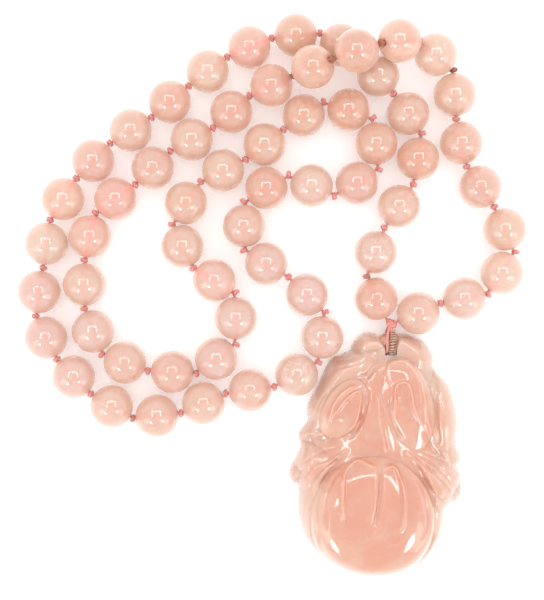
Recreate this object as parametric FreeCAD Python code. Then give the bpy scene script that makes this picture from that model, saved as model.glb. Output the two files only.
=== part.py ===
# A closed strand of round stone beads, knotted on silk, with a carved stone peach amulet.
# It lies loosely coiled on a table, in millimetres, +Z up, the table top at Z = 0.
# The origin is the middle of the coiled strand's outline, on the table. The amulet lies at the front (-Y).
import FreeCAD, Part
import math
import os

Vec = FreeCAD.Vector

# Driving dimensions
bead_d = 10.0          # every bead
hole_d = 1.0           # its drilled hole
flare_d = 1.9          # the hole's mouth, eased so that the silk isn't cut
flare_depth = 0.9
silk_d = 0.7           # the strand's cord
knot_gap = 0.06        # between a knot and the bead beside it
mouth_to_knot = 1.1    # from a listed point to the knot's centre
main_knot_d = 3.2
loop_silk_d = 0.8      # the bail's bare strand
core_silk_d = 0.7      # the bail's wrapped strand, inside the coil
coil_d = 1.4           # the wire coil's outside
coil_bore = 0.8        # the wire coil's inside
loop_r = 2.9           # the bail's round end, where it goes through the stone
amulet_x = 27.3        # middle of the bail and of the stone's hole
pivot_y = -10.1        # the amulet turns about this line, parallel to X
pivot_z = 4.0
amulet_t = 13.0        # the carving's greatest thickness, at the peach
plate_t = 4.2          # the carving's thickness at its leaves
rim_t = 1.4            # the height of the carving's widest outline
bridge_r = 2.05        # the bar of stone that the bail goes round
bridge_half_w = 2.6    # half its length, into the stone on both sides
channel_half_w = 1.45  # the thread hole, half its width along X
thread_room = 0.15     # from the wire coil to the thread hole's wall
bare_strand_x = -0.74  # the bail's two strands, either side of its middle
wrapped_strand_x = 0.42
bail_top_lift = 1.3    # where the bail leaves the main knot, above the pivot line
bail_base_lift = 0.2
coil_start = 1.75      # the wire coil begins this far from where its strand starts

bead_r = bead_d / 2

# The silk's route: where it goes into and comes out of each bead, in order round the strand.
# A point with no height lies a bead's radius above the table. Each stretch is one body's beads.
right_stretch = [  # beads 2 to 7
    ((40.1, -1), (49, 0.7)),
    ((50.7, 1.8), (55.9, 9.8)),
    ((56, 11.7), (52, 20.2)),
    ((50.9, 22.1), (45.7, 29.6)),
    ((44.9, 31.6), (42.9, 40.5)),
    ((42.6, 42.7), (42.1, 51.8, 5.2)),
]
inner_stretch = [  # beads 8 to 40; beads 9 to 11 climb over the neck stretch
    ((41.2, 53.6, 5.5), (34.3, 59, 7.7)),
    ((32.6, 59.5, 8.6), (25.3, 57.6, 13.7)),
    ((23.3, 57.1, 14.3), (14.6, 54.3, 14.2)),
    ((12.6, 53.7, 13.6), (5.7, 51.6, 8.2)),
    ((3.8, 50.9, 7.3), (-4.4, 47.4, 5.3)),
    ((-6.2, 46.3), (-13, 40.2)),
    ((-14.8, 39), (-22.8, 34.7)),
    ((-24.6, 33.4), (-31.1, 27.1)),
    ((-32.8, 25.7), (-40.3, 20.4)),
    ((-41.5, 18.7), (-43.5, 9.9)),
    ((-43.8, 7.7), (-43.8, -1.4)),
    ((-43.4, -3.5), (-40.1, -12.1)),
    ((-38.7, -13.5), (-30, -16.5)),
    ((-27.9, -17), (-18.8, -17.4)),
    ((-16.8, -16.9), (-9.4, -11.4)),
    ((-8.5, -9.7), (-8.6, 0.2)),
    ((-9.6, 1.8), (-17.5, 6.4)),
    ((-19, 7.9), (-23, 16.1)),
    ((-22.9, 18), (-17.4, 26.2)),
    ((-15.8, 27.6), (-7.3, 31.7)),
    ((-5.4, 32.9), (1.6, 38.5)),
    ((3.4, 39.8), (11, 45)),
    ((12.9, 45.3), (22.4, 42.2)),
    ((23.5, 40.8), (24.7, 31)),
    ((23.9, 29.3), (15.3, 24.2)),
    ((13.4, 24.1), (4.7, 28.2)),
    ((2.8, 28.1), (-5.8, 23)),
    ((-6.7, 21.3), (-6.7, 12.2)),
    ((-5.8, 10.5), (2.8, 5.5)),
    ((4.5, 4.1), (11.5, -2.5)),
    ((12.2, -4.4), (10.9, -13.9)),
    ((9.8, -15.5), (1.4, -20.2)),
    ((-0.7, -20.8), (-9.8, -22.1)),
]
left_stretch = [  # beads 41 to 52
    ((-11.9, -22.6), (-20.3, -26.4)),
    ((-22.4, -26.9), (-31.4, -27.9)),
    ((-33.5, -27.5), (-41.3, -22.9)),
    ((-43.1, -21.6), (-49.4, -15.1)),
    ((-50.7, -13.3), (-54.7, -5.2)),
    ((-55, -3.1), (-53.6, 5.9)),
    ((-53.2, 8.1), (-52, 17.1)),
    ((-51.2, 19.1), (-46.3, 26.9)),
    ((-44.9, 28.6), (-38.6, 35.2)),
    ((-36.9, 36.6), (-29.1, 41.4)),
    ((-27.4, 42.7), (-20.4, 48.6)),
    ((-18.7, 50), (-11.5, 55.4)),
]
neck_stretch = [  # beads 53 to 60
    ((-9.6, 56.5), (-1.2, 60.1)),
    ((0.9, 60.6), (9.9, 61.6)),
    ((12, 61.1), (19.8, 56.6)),
    ((21.5, 55.2), (27.5, 48.3)),
    ((28.8, 46.6), (34.2, 39.2)),
    ((34.6, 37.2), (33, 27.5)),
    ((32.2, 25.5), (26.6, 17.2)),
    ((25.6, 15.3), (22.3, 6)),
]
drop_stretch = [  # beads 61 and 1, either side of the main knot
    ((22.3, 4), (25.9, -4.4)),
    ((29.7, -5.4), (38, -1.7)),
]
main_knot_at = (27.6, -5.9, 5.2)

# Beads that share one node: the innermost coil, which doesn't turn on its own.
first_grouped = 24
last_grouped = 37

# The amulet's outline, seen from above, in order from the notch at its top, measured from the
# middle of its thread hole: the left lobe, down the left leaves, round the peach, up the right.
left_lobe = [(-1.9, 3.9), (-4.4, 5.0), (-7.0, 4.2), (-8.7, 2.1), (-8.9, 0.9)]
left_side = [(-11.0, -0.1), (-13.7, -1.4), (-16.5, -6.8), (-19.2, -12.2), (-19.2, -15.7)]
left_tip = [(-21.2, -18.9), (-20.9, -22.0), (-23.4, -27.6), (-22.6, -30.3), (-21.4, -31.2)]
peach_edge = [
    (-21.2, -38.0), (-18.7, -44.7), (-12.0, -50.3), (-3.1, -52.4),
    (5.8, -50.3), (12.0, -43.4), (13.4, -36.6),
]
right_tip = [(16.6, -33.8), (17.0, -29.0), (16.0, -26.6), (17.0, -24.6), (15.9, -21.6)]
right_side = [(16.2, -15.2), (14.2, -7.8), (10.6, -3.6)]
right_lobe = [(10.4, -0.8), (8.2, 2.9), (4.4, 4.6), (1.6, 4.4)]
notch = [(0.0, 2.0)]
carving_middle = (-3.0, -24.0)
hole_y = pivot_y - loop_r
# The carving's raised forms: middle, measured from the thread hole, and half sizes.
raised_forms = [
    (-3.6, -38.2, (13.0, 14.0, amulet_t)),  # peach
    (-10.6, -12.6, (6.2, 9.0, 7.6)),        # left pod
    (3.6, -12.4, (5.0, 10.0, 8.0)),         # right pod
    (-2.8, -16.0, (4.4, 10.0, 7.4)),        # stem
    (12.0, -15.5, (4.6, 10.5, 6.4)),        # right leaf
    (-5.2, 2.0, (4.4, 4.0, 6.6)),           # left lobe
    (5.8, -0.4, (5.6, 5.6, 7.0)),           # right lobe
    (-0.2, -4.4, (4.0, 4.4, 7.0)),          # brow below the thread hole
]


def at(p):
    """A listed point as a vector, resting on the table where it has no height."""
    return Vec(p[0], p[1], p[2] if len(p) > 2 else bead_r)


def unit(v):
    return v * (1.0 / v.Length)


def beads_of(stretch):
    return [(at(a), at(b)) for a, b in stretch]


def knot_between(before, after):
    """Where the hole axes of two beads in a row meet."""
    out = before[1] + unit(before[1] - before[0]) * mouth_to_knot
    back = after[0] - unit(after[1] - after[0]) * mouth_to_knot
    return (out + back) * 0.5


def tube(points, radius, name):
    """A round tube along straight runs joined by tangent arcs, as large as the runs allow."""
    edges = []
    length = 0.0
    start = points[0]
    radii = []
    for before, corner, after in zip(points, points[1:], points[2:]):
        u = unit(corner - before)
        w = unit(after - corner)
        turn = math.acos(max(-1.0, min(1.0, u.dot(w))))
        reach = 0.45 * min((corner - before).Length, (after - corner).Length)
        bend = reach / math.tan(turn / 2)
        radii.append(bend)
        arc_from = corner - u * reach
        arc_to = corner + w * reach
        middle = corner + unit(w - u) * (bend / math.cos(turn / 2) - bend)
        edges.append(Part.LineSegment(start, arc_from).toShape())
        edges.append(Part.Arc(arc_from, middle, arc_to).toShape())
        length += (arc_from - start).Length + bend * turn
        start = arc_to
    edges.append(Part.LineSegment(start, points[-1]).toShape())
    length += (points[-1] - start).Length
    path = Part.Wire(edges)
    ring = Part.Wire([Part.Circle(points[0], unit(points[1] - points[0]), radius).toShape()])
    solid = path.makePipeShell([ring], True, False)
    ratio = solid.Volume / (math.pi * radius ** 2 * length)
    print(f"{name}: {length:.1f} mm, bends {min(radii):.2f} to {max(radii):.1f} mm, volume ratio {ratio:.3f}")
    return solid


def bead(ends):
    """A drilled ball with its hole along the silk, and eased mouths: one profile turned about the hole."""
    middle = (ends[0] + ends[1]) * 0.5
    axis = unit(ends[1] - ends[0])
    across = unit(Vec(-axis.y, axis.x, 0))
    hole_h = bead_r - flare_depth
    mouth_h = math.sqrt(bead_r ** 2 - (flare_d / 2) ** 2)

    def spot(radius, height):
        return middle + across * radius + axis * height

    edges = [
        Part.LineSegment(spot(hole_d / 2, -hole_h), spot(flare_d / 2, -mouth_h)).toShape(),
        Part.Arc(spot(flare_d / 2, -mouth_h), spot(bead_r, 0), spot(flare_d / 2, mouth_h)).toShape(),
        Part.LineSegment(spot(flare_d / 2, mouth_h), spot(hole_d / 2, hole_h)).toShape(),
        Part.LineSegment(spot(hole_d / 2, hole_h), spot(hole_d / 2, -hole_h)).toShape(),
    ]
    return Part.Face(Part.Wire(edges)).revolve(middle, axis, 360)


def knot(before, after):
    """A round knot that just clears the two beads it keeps apart."""
    place = knot_between(before, after)
    room = min(((b[0] + b[1]) * 0.5 - place).Length - bead_r for b in (before, after))
    return Part.makeSphere(room - knot_gap, place)


def ellipsoid(centre, size):
    """An ellipsoid of the given half sizes."""
    ball = Part.makeSphere(1.0)
    grow = FreeCAD.Matrix()
    grow.scale(size[0], size[1], size[2])
    solid = ball.transformGeometry(grow)
    solid.translate(centre)
    return solid


def bail_points(x):
    """Where one strand of the bail leaves the main knot, rounds the pivot line and comes back."""
    found = []
    for side, lift in ((1, bail_top_lift), (-1, bail_base_lift)):
        reach = main_knot_at[1] - pivot_y
        away = math.hypot(reach, lift)
        angle = math.atan2(lift * side, reach) + math.acos(loop_r / away)
        tangent = Vec(x, pivot_y + loop_r * math.cos(angle), pivot_z + side * loop_r * math.sin(angle))
        found.append((Vec(x, main_knot_at[1], pivot_z + lift), tangent))
    return found


def bail_tube(x, radius, name, whole=True):
    """A strand of the bail; the wrapped length stops short of the main knot and inside the hole."""
    (top_end, top), (base_end, base) = bail_points(x)
    far = Vec(x, pivot_y - loop_r, pivot_z)
    if whole:
        over = Part.Arc(top, far, base).toShape()
        edges = [Part.LineSegment(top_end, top).toShape(), over, Part.LineSegment(base, base_end).toShape()]
        start = top_end
    else:
        lean = math.atan2(top.z - pivot_z, top.y - pivot_y)
        half = (math.pi + lean) / 2
        middle = Vec(x, pivot_y + loop_r * math.cos(half), pivot_z + loop_r * math.sin(half))
        start = top_end + unit(top - top_end) * coil_start
        edges = [Part.LineSegment(start, top).toShape(), Part.Arc(top, middle, far).toShape()]
    path = Part.Wire(edges)
    ring = Part.Wire([Part.Circle(start, unit(top - top_end), radius).toShape()])
    solid = path.makePipeShell([ring], True, False)
    ratio = solid.Volume / (math.pi * radius ** 2 * path.Length)
    print(f"{name}: {path.Length:.1f} mm, volume ratio {ratio:.3f}")
    return solid


def outline_wire(z, shrink):
    """The amulet's outline at a height, drawn in towards the carving's middle by a share."""
    ring = left_lobe + left_side + left_tip + peach_edge + right_tip + right_side + right_lobe + notch
    places = []
    for x, y in ring:
        px = carving_middle[0] + (x - carving_middle[0]) * shrink
        py = carving_middle[1] + (y - carving_middle[1]) * shrink
        places.append(Vec(amulet_x + px, hole_y + py, z))
    curve = Part.BSplineCurve()
    curve.interpolate(places, PeriodicFlag=True)
    return Part.Wire([curve.toShape()])


def carved_amulet():
    """The stone: a flat back, bevelled leaves, the peach and the pods standing proud, and the bridge."""
    low = Part.makeLoft([outline_wire(0, 0.985), outline_wire(rim_t, 1.0)], True, True)
    high = Part.makeLoft([outline_wire(rim_t, 1.0), outline_wire(plate_t, 0.9)], True, True)
    stone = low.fuse(high)
    keep = Part.Face(outline_wire(0, 0.97)).extrude(Vec(0, 0, amulet_t + 1))
    for x, y, size in raised_forms:
        stone = stone.fuse(ellipsoid(Vec(amulet_x + x, hole_y + y, 0), size).common(keep))
    across = Vec(1, 0, 0)
    start = Vec(amulet_x - channel_half_w, pivot_y, pivot_z)
    channel_r = loop_r + coil_d / 2 + thread_room
    channel = Part.makeCylinder(channel_r, 2 * channel_half_w, start, across)
    groove = Part.makeBox(
        2 * channel_half_w, 3 * channel_r, pivot_z + 1,
        Vec(amulet_x - channel_half_w, pivot_y - channel_r, -1),
    )
    bridge_start = Vec(amulet_x - bridge_half_w, pivot_y, pivot_z)
    bridge = Part.makeCylinder(bridge_r, 2 * bridge_half_w, bridge_start, across)
    return stone.cut(channel.fuse(groove)).fuse(bridge).removeSplitter()


def save(shape, name):
    solids = shape.Solids
    if not shape.isValid() or not solids:
        raise ValueError(f"{name} isn't a closed solid")
    shape.exportStep(f"parts/{name}.step")
    box = shape.BoundBox
    print(f"  {name}: {len(solids)} solid(s), {box.XLength:.1f} x {box.YLength:.1f} x {box.ZLength:.1f} mm")


def group(shapes):
    return Part.makeCompound(shapes)


os.makedirs("parts", exist_ok=True)

right = beads_of(right_stretch)
inner = beads_of(inner_stretch)
left = beads_of(left_stretch)
neck = beads_of(neck_stretch)
drop = beads_of(drop_stretch)

# Beads, numbered round the strand from the main knot: 1, then the four stretches, then 61.
round_the_strand = [drop[1]] + right + inner + left + neck + [drop[0]]
innermost = []
for number, ends in enumerate(round_the_strand, 1):
    shape = bead(ends)
    if first_grouped <= number <= last_grouped:
        innermost.append(shape)
    else:
        save(shape, f"bead_{number:02d}")
save(group(innermost), "beads_innermost")

# Knots: the ones that two bodies bend about belong to the strand that stays on the table.
right_knots = [knot(a, b) for a, b in zip(right, right[1:])]
left_knots = [knot(a, b) for a, b in zip(left, left[1:])]
lying_knots = [knot(a, b) for a, b in zip(inner, inner[1:])]
lying_knots += [knot(a, b) for a, b in zip(neck, neck[1:])]
bending_pairs = [(drop[1], right[0]), (right[-1], inner[0]), (inner[-1], left[0])]
bending_pairs += [(left[-1], neck[0]), (neck[-1], drop[0])]
lying_knots += [knot(a, b) for a, b in bending_pairs]
save(group(right_knots), "knots_right_arc")
save(group(left_knots), "knots_left_arc")
save(group(lying_knots), "knots_lying")
save(Part.makeSphere(main_knot_d / 2, Vec(*main_knot_at)), "main_knot")

# The silk: one cord, cut only where two bodies bend about a knot.
inner_route = [p for ends in inner for p in ends]
inner_route[0] = knot_between(right[-1], inner[0])
inner_route[-1] = knot_between(inner[-1], left[0])
neck_route = [p for ends in neck for p in ends]
neck_route[0] = knot_between(left[-1], neck[0])
neck_route[-1] = knot_between(neck[-1], drop[0])
drop_route = [drop[0][0], drop[0][1], Vec(*main_knot_at), drop[1][0], drop[1][1]]
save(tube(inner_route, silk_d / 2, "silk through the inner beads"), "silk_inner")
save(tube(neck_route, silk_d / 2, "silk through the neck beads"), "silk_neck")
save(tube([p for ends in right for p in ends], silk_d / 2, "silk of the right arc"), "silk_right_arc")
save(tube([p for ends in left for p in ends], silk_d / 2, "silk of the left arc"), "silk_left_arc")
save(tube(drop_route, silk_d / 2, "silk either side of the main knot"), "silk_drop")

# The bail: a bare strand beside a wrapped one, and the wire coil that wraps it.
bare = bail_tube(amulet_x + bare_strand_x, loop_silk_d / 2, "bare bail strand")
core = bail_tube(amulet_x + wrapped_strand_x, core_silk_d / 2, "wrapped bail strand")
save(group([bare, core]), "bail_silk")
outside = bail_tube(amulet_x + wrapped_strand_x, coil_d / 2, "wire coil outside", whole=False)
inside = bail_tube(amulet_x + wrapped_strand_x, coil_bore / 2, "wire coil bore", whole=False)
save(outside.cut(inside), "bail_wire_coil")

save(carved_amulet(), "amulet")
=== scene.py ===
# A closed strand of knotted stone beads with a carved stone peach, loosely coiled on a pale table.
# Everything is in metres, +Z up, with the table top at Z = 0.
import bpy
import math
import numpy as np
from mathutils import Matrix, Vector


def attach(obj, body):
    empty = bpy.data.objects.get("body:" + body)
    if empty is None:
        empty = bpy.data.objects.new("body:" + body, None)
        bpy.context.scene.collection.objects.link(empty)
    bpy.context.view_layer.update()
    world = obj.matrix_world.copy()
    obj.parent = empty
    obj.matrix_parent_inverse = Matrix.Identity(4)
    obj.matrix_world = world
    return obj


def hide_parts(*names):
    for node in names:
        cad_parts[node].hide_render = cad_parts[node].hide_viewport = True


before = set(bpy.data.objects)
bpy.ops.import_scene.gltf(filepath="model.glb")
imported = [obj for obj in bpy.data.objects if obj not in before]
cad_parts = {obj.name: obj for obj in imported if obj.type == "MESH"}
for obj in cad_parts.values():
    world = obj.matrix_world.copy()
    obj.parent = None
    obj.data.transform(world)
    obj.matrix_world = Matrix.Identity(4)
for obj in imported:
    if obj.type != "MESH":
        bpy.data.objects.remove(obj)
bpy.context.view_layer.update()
print("frame loaded")

mm = 0.001
white = (1, 1, 1, 1)

# The beads are numbered from 1 round the strand, and the lists here name them by number.
beadSettings = {
    "radius": 0.005,
    "boreRadius": 0.0005,
    "mouthRadius": 0.00095,  # the hole's eased edge
    "mouthDepth": 0.0009,
    "around": 56,  # faces round the hole
    "pole": 30,  # faces from mouth to mouth
    "lipSteps": 5,
    "unevenness": 0.006,  # how far a bead is from truly round, as a share of its radius
    "waveShift": 2.4,  # how far the unevenness moves on from bead to bead
    "mouthToKnot": 0.0011,
    "innermost": (24, 37),  # beads that share one node
    "pale": (3, 4, 7, 8, 27, 47, 48, 52, 56),
    "pink": (12, 13, 22, 32, 34, 37, 45, 53, 16),
    "tones": {"pale": (0.0, 0.15), "usual": (0.25, 0.75), "pink": (0.85, 1.0)},
    # Rich and warm beads are set deeper partly for their stone and partly as painted shade on the beads
    # towards the top, where less light falls.
    "richAndShade": (10, 11, 28, 29, 30, 31, 54, 55, 58),
    "warmAndShade": (4, 6, 7, 9, 12, 13, 14, 26, 27, 34, 51, 56, 57, 61),
    "faint": (2, 3, 19, 22, 23, 24, 33, 36, 37, 38, 44, 45, 46, 47, 60),
    "richnessAndShade": {"richAndShade": 1.0, "warmAndShade": 0.72, "usual": 0.44, "faint": 0.12},
    "veiled": {60: 1.0, 39: 0.9, 57: 0.6, 8: 0.5, 33: 0.5},
    # beads whose bores get the full painted silk colour and painted glow
    "clearest": (3, 16, 17, 24, 48, 53),
    "paintedSilkShare": 0.22,  # how strongly the bore of the other beads is painted with the silk's colour and its painted glow
}

# The silk's route: where it goes into and comes out of each bead, in order round the strand.
# A point with no height lies a bead's radius above the table.
rightStretch = [  # beads 2 to 7
    ((0.0401, -0.001), (0.049, 0.0007)), ((0.0507, 0.0018), (0.0559, 0.0098)),
    ((0.056, 0.0117), (0.052, 0.0202)), ((0.0509, 0.0221), (0.0457, 0.0296)),
    ((0.0449, 0.0316), (0.0429, 0.0405)), ((0.0426, 0.0427), (0.0421, 0.0518, 0.0052)),
]
innerStretch = [  # beads 8 to 40; beads 9 to 11 climb over the neck stretch
    ((0.0412, 0.0536, 0.0055), (0.0343, 0.059, 0.0077)),
    ((0.0326, 0.0595, 0.0086), (0.0253, 0.0576, 0.0137)),
    ((0.0233, 0.0571, 0.0143), (0.0146, 0.0543, 0.0142)),
    ((0.0126, 0.0537, 0.0136), (0.0057, 0.0516, 0.0082)),
    ((0.0038, 0.0509, 0.0073), (-0.0044, 0.0474, 0.0053)), ((-0.0062, 0.0463), (-0.013, 0.0402)),
    ((-0.0148, 0.039), (-0.0228, 0.0347)), ((-0.0246, 0.0334), (-0.0311, 0.0271)),
    ((-0.0328, 0.0257), (-0.0403, 0.0204)), ((-0.0415, 0.0187), (-0.0435, 0.0099)),
    ((-0.0438, 0.0077), (-0.0438, -0.0014)), ((-0.0434, -0.0035), (-0.0401, -0.0121)),
    ((-0.0387, -0.0135), (-0.03, -0.0165)), ((-0.0279, -0.017), (-0.0188, -0.0174)),
    ((-0.0168, -0.0169), (-0.0094, -0.0114)), ((-0.0085, -0.0097), (-0.0086, 0.0002)),
    ((-0.0096, 0.0018), (-0.0175, 0.0064)), ((-0.019, 0.0079), (-0.023, 0.0161)),
    ((-0.0229, 0.018), (-0.0174, 0.0262)), ((-0.0158, 0.0276), (-0.0073, 0.0317)),
    ((-0.0054, 0.0329), (0.0016, 0.0385)), ((0.0034, 0.0398), (0.011, 0.045)),
    ((0.0129, 0.0453), (0.0224, 0.0422)), ((0.0235, 0.0408), (0.0247, 0.031)),
    ((0.0239, 0.0293), (0.0153, 0.0242)), ((0.0134, 0.0241), (0.0047, 0.0282)),
    ((0.0028, 0.0281), (-0.0058, 0.023)), ((-0.0067, 0.0213), (-0.0067, 0.0122)),
    ((-0.0058, 0.0105), (0.0028, 0.0055)), ((0.0045, 0.0041), (0.0115, -0.0025)),
    ((0.0122, -0.0044), (0.0109, -0.0139)), ((0.0098, -0.0155), (0.0014, -0.0202)),
    ((-0.0007, -0.0208), (-0.0098, -0.0221)),
]
leftStretch = [  # beads 41 to 52
    ((-0.0119, -0.0226), (-0.0203, -0.0264)), ((-0.0224, -0.0269), (-0.0314, -0.0279)),
    ((-0.0335, -0.0275), (-0.0413, -0.0229)), ((-0.0431, -0.0216), (-0.0494, -0.0151)),
    ((-0.0507, -0.0133), (-0.0547, -0.0052)), ((-0.055, -0.0031), (-0.0536, 0.0059)),
    ((-0.0532, 0.0081), (-0.052, 0.0171)), ((-0.0512, 0.0191), (-0.0463, 0.0269)),
    ((-0.0449, 0.0286), (-0.0386, 0.0352)), ((-0.0369, 0.0366), (-0.0291, 0.0414)),
    ((-0.0274, 0.0427), (-0.0204, 0.0486)), ((-0.0187, 0.05), (-0.0115, 0.0554)),
]
neckStretch = [  # beads 53 to 60
    ((-0.0096, 0.0565), (-0.0012, 0.0601)), ((0.0009, 0.0606), (0.0099, 0.0616)),
    ((0.012, 0.0611), (0.0198, 0.0566)), ((0.0215, 0.0552), (0.0275, 0.0483)),
    ((0.0288, 0.0466), (0.0342, 0.0392)), ((0.0346, 0.0372), (0.033, 0.0275)),
    ((0.0322, 0.0255), (0.0266, 0.0172)), ((0.0256, 0.0153), (0.0223, 0.006)),
]
dropStretch = [  # beads 61 and 1, either side of the main knot
    ((0.0223, 0.004), (0.0259, -0.0044)),
    ((0.0297, -0.0054), (0.038, -0.0017)),
]
mainKnotAt = (0.0276, -0.0059, 0.0052)

# The silk below the main knot goes twice round the stone's bar: once bare, once inside the wire coil.
bareTurn = [
    (0.0269, -0.0073, 0.0064), (0.02656, -0.0089, 0.0069), (0.02656, -0.0113, 0.0069),
    (0.02656, -0.013, 0.0052), (0.02656, -0.013, 0.0028), (0.02656, -0.0113, 0.0011),
    (0.02656, -0.0089, 0.0011), (0.0269, -0.007, 0.0029),
]
wrappedTurn = [
    (0.0275, -0.0073, 0.0064), (0.02772, -0.0089, 0.0069), (0.02772, -0.0113, 0.0069),
    (0.02772, -0.013, 0.0052), (0.02772, -0.013, 0.0028), (0.02772, -0.0113, 0.0011),
    (0.02772, -0.0089, 0.0011), (0.0277, -0.007, 0.0029),
]

# The camera looks straight down from above the coil's middle.
cameraSettings = {
    "place": (-0.00015, -0.00048, 0.3), "lens": 76.1, "sensor": 36.0, "nearest": 0.01,
}


def makeCamera(settings):
    data = bpy.data.cameras.new("tableCamera")
    data.lens = settings["lens"]
    data.sensor_width = settings["sensor"]
    data.clip_start = settings["nearest"]
    camera = bpy.data.objects.new("tableCamera", data)
    camera.location = settings["place"]
    bpy.context.collection.objects.link(camera)
    bpy.context.scene.camera = camera


makeCamera(cameraSettings)
print("camera placed")


# Vectors of length one, along the last axis.
def unit(v):
    return v / np.linalg.norm(v, axis=-1, keepdims=True)


# Two directions square to an axis and to each other; the axis must not run along aside.
def crossways(axis, aside):
    across = unit(np.cross(axis, aside))
    return across, np.cross(axis, across)


# The length along a line at each of its points.
def lengthAlong(line):
    return np.concatenate([[0], np.cumsum(np.linalg.norm(np.diff(line, axis=0), axis=1))])


# The points at given shares of a line's whole length.
def pointsAt(line, shares):
    along = lengthAlong(line)
    return np.stack([np.interp(shares * along[-1], along, column) for column in line.T], axis=1)


# The flat points at some angles round a middle.
def arcRound(middle, radius, angles):
    return middle + radius * np.stack([np.cos(angles), np.sin(angles)], axis=1)


# A route point with its height: a bead's radius above the table where none is given.
def spot(point):
    return np.array(point if len(point) == 3 else (*point, beadSettings["radius"]))


def endsOf(stretch):
    return [(spot(a), spot(b)) for a, b in stretch]


# Where the hole axes of two beads in a row meet.
def knotBetween(before, after):
    reach = beadSettings["mouthToKnot"]
    out = before[1] + unit(before[1] - before[0]) * reach
    back = after[0] - unit(after[1] - after[0]) * reach
    return (out + back) / 2


right, inner, left, neck, drop = map(
    endsOf, (rightStretch, innerStretch, leftStretch, neckStretch, dropStretch))
beadEnds = [drop[1]] + right + inner + left + neck + [drop[0]]


def bodyOf(number):
    first, last = beadSettings["innermost"]
    return "strand" if first <= number <= last else f"bead_{number:02d}"


# One mesh from several grids of points, each rows by columns. A closed grid's last row joins its first,
# an open one is shut by a face at each end, and columns always join round. The map holds the length
# along each grid and the share of the way round it.
def gridObject(name, grids, material, values=None):
    faces, places, maps, start = [], [], [], 0
    for grid in grids:
        points, closed, along = grid["points"], grid["closed"], grid["along"]
        rows, columns = points.shape[:2]
        i, j = np.meshgrid(np.arange(rows if closed else rows - 1), np.arange(columns), indexing="ij")
        below, beside = (i + 1) % rows, (j + 1) % columns
        quads = np.stack([i * columns + j, i * columns + beside, below * columns + beside,
                          below * columns + j], axis=-1)
        faces += (quads.reshape(-1, 4) + start).tolist()
        u = np.stack([along[i], along[i], along[i + 1], along[i + 1]], axis=-1)
        v = np.stack([j, j + 1, j + 1, j], axis=-1) / columns
        maps.append(np.stack([u, v], axis=-1).reshape(-1, 2))
        if not closed:
            ring = np.arange(columns) + start
            faces += [ring[::-1].tolist(), (ring + (rows - 1) * columns).tolist()]
            maps.append(np.tile([[along[0], 0.5]], (columns, 1)))
            maps.append(np.tile([[along[rows - 1], 0.5]], (columns, 1)))
        places.append(points.reshape(-1, 3))
        start += rows * columns
    mesh = bpy.data.meshes.new(name)
    mesh.from_pydata(np.concatenate(places).tolist(), [], faces)
    mesh.uv_layers.new(name="lengthMap").data.foreach_set("uv", np.concatenate(maps).ravel())
    for label, numbers in (values or {}).items():
        mesh.attributes.new(label, "FLOAT", "POINT").data.foreach_set("value", numbers)
    mesh.polygons.foreach_set("use_smooth", np.ones(len(faces), dtype=bool))
    mesh.materials.append(material)
    mesh.update()
    made = bpy.data.objects.new(name, mesh)
    bpy.context.collection.objects.link(made)
    return made


# A twisted cord carried along a line: the distance from the line is the radius, less a notch between
# each pair of plies, and the notches turn round the line once in each lay.
def twistedTube(line, side, radius, settings, closed=False):
    if closed:
        tangent = unit(np.roll(line, -1, axis=0) - np.roll(line, 1, axis=0))
        along = lengthAlong(np.concatenate([line, line[:1]]))
    else:
        tangent = unit(np.gradient(line, axis=0))
        along = lengthAlong(line)
    normal = unit(side - np.sum(side * tangent, axis=-1, keepdims=True) * tangent)
    binormal = np.cross(tangent, normal)
    turns = max(1, round(along[-1] / settings["lay"])) / along[-1]
    angle = np.linspace(0, 2 * math.pi, settings["sides"], endpoint=False)[None, :]
    twist = 2 * math.pi * turns * along[: len(line), None]
    ply = np.abs(np.cos(settings["plies"] * (angle - twist) / 2))
    reach = np.broadcast_to(np.asarray(radius).reshape(-1, 1), (len(line), 1))
    reach = reach * (1 - settings["notch"] * (1 - ply))
    ring = np.cos(angle)[..., None] * normal[:, None] + np.sin(angle)[..., None] * binormal[:, None]
    return {"points": line[:, None] + reach[..., None] * ring, "closed": closed, "along": along}


# The smooth line that a route's points shape: an order 3 spline with its ends held.
def splineLine(name, route, steps):
    curve = bpy.data.curves.new(name, "CURVE")
    curve.dimensions = "3D"
    spline = curve.splines.new("NURBS")
    spline.points.add(len(route) - 1)
    spline.points.foreach_set("co", np.column_stack([route, np.ones(len(route))]).ravel())
    spline.order_u = 3
    spline.use_endpoint_u = True
    spline.resolution_u = steps
    holder = bpy.data.objects.new(name, curve)
    mesh = bpy.data.meshes.new_from_object(holder)
    line = np.empty(len(mesh.vertices) * 3)
    mesh.vertices.foreach_get("co", line)
    bpy.data.objects.remove(holder)
    bpy.data.curves.remove(curve)
    bpy.data.meshes.remove(mesh)
    return line.reshape(-1, 3)


def setInputs(tree, made, inputs):
    for key, value in inputs.items():
        if isinstance(value, bpy.types.NodeSocket):
            tree.links.new(value, made.inputs[key])
        else:
            made.inputs[key].default_value = value


def addNode(tree, kind, inputs=None, **settings):
    made = tree.nodes.new("ShaderNode" + kind)
    for key, value in settings.items():
        setattr(made, key, value)
    setInputs(tree, made, inputs or {})
    return made


# A blend of two colours; the node's colour sockets are numbers 6 and 7, and its result is number 2.
def mixColours(tree, factor, first, second):
    return addNode(tree, "Mix", {0: factor, 6: first, 7: second}, data_type="RGBA").outputs[2]


def calculate(tree, operation, first, second=0.0, third=0.0):
    return addNode(tree, "Math", {0: first, 1: second, 2: third}, operation=operation).outputs[0]


# A 0 to 1 share of the way from the first of two ends to the last.
def shareBetween(tree, value, ends):
    inputs = {"Value": value, "From Min": ends[0], "From Max": ends[1]}
    return addNode(tree, "MapRange", inputs).outputs["Result"]


def attributeOf(tree, name):
    return addNode(tree, "Attribute", attribute_name=name).outputs["Fac"]


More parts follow.
